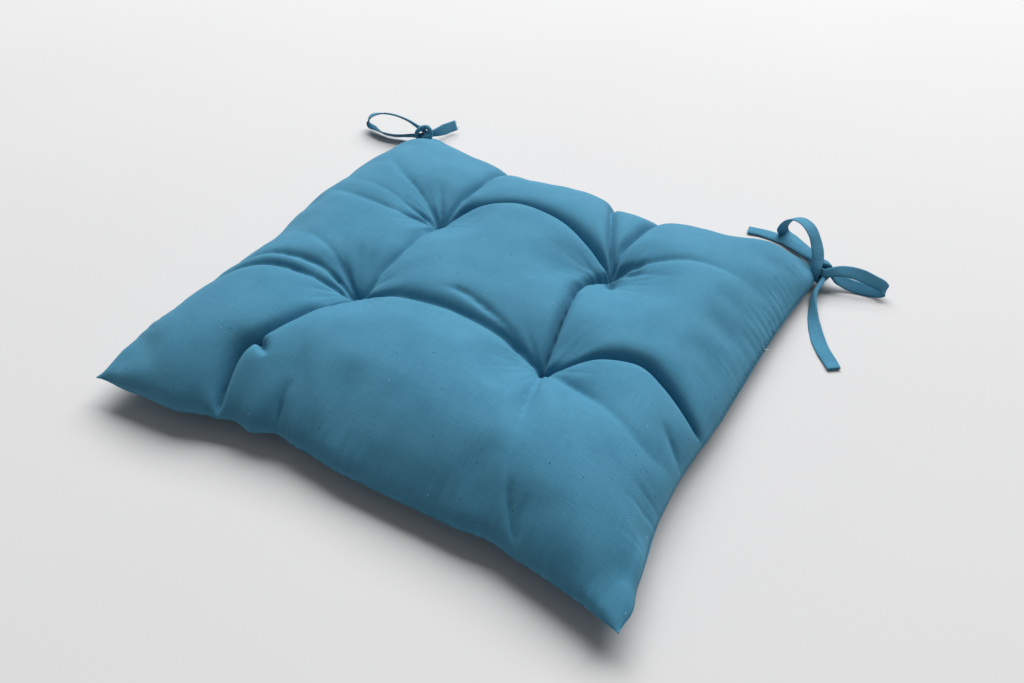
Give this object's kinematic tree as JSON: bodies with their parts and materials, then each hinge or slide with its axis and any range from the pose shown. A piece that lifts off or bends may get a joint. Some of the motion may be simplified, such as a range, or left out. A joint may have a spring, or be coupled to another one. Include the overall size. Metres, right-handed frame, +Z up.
{
  "type": "chair seat pad",
  "caption": "Square tufted seat pad in plain cotton with a tied bow of narrow tape at each back corner.",
  "frame": {"origin": "under the middle of the pad, on the surface that it rests on", "axes": "+X to the sitter's right, +Y to the back edge where the ties are, +Z up out of the seat"},
  "size_m": [0.5114, 0.4329, 0.0543],
  "materials": {
    "cover_cotton": "matt plain weave",
    "tie_cotton": "matt plain weave, folded and topstitched",
    "sewing_thread": "matt spun thread",
    "filling_fibre": "loose white fibre"
  },
  "bodies": {
    "pad": {"cover_top": "cover_cotton", "cover_bottom": "cover_cotton", "filling": "filling_fibre", "tuft_thread_front_left": "sewing_thread", "tuft_thread_front_right": "sewing_thread", "tuft_thread_back_left": "sewing_thread", "tuft_thread_back_right": "sewing_thread", "edge_seam_thread": "sewing_thread", "closing_seam_thread": "sewing_thread", "bartack_left": "sewing_thread", "bartack_right": "sewing_thread"},
    "tie_left": {"tie_tape_left_loop": "tie_cotton", "tie_tape_left_wrap": "tie_cotton"},
    "tie_right": {"tie_tape_right_loop_side": "tie_cotton", "tie_tape_right_loop_upright": "tie_cotton"}
  },
  "joints": [
    {"name": "tie_left_swing", "type": "hinge", "parent": "pad", "child": "tie_left", "pos_m": [-0.19, 0.193, 0.0085], "axis": [0, 0, 1], "range_deg": [0, 20]},
    {"name": "tie_right_swing", "type": "hinge", "parent": "pad", "child": "tie_right", "pos_m": [0.193, 0.181, 0.0095], "axis": [0, 0, 1], "range_deg": [-2, 10]}
  ]
}
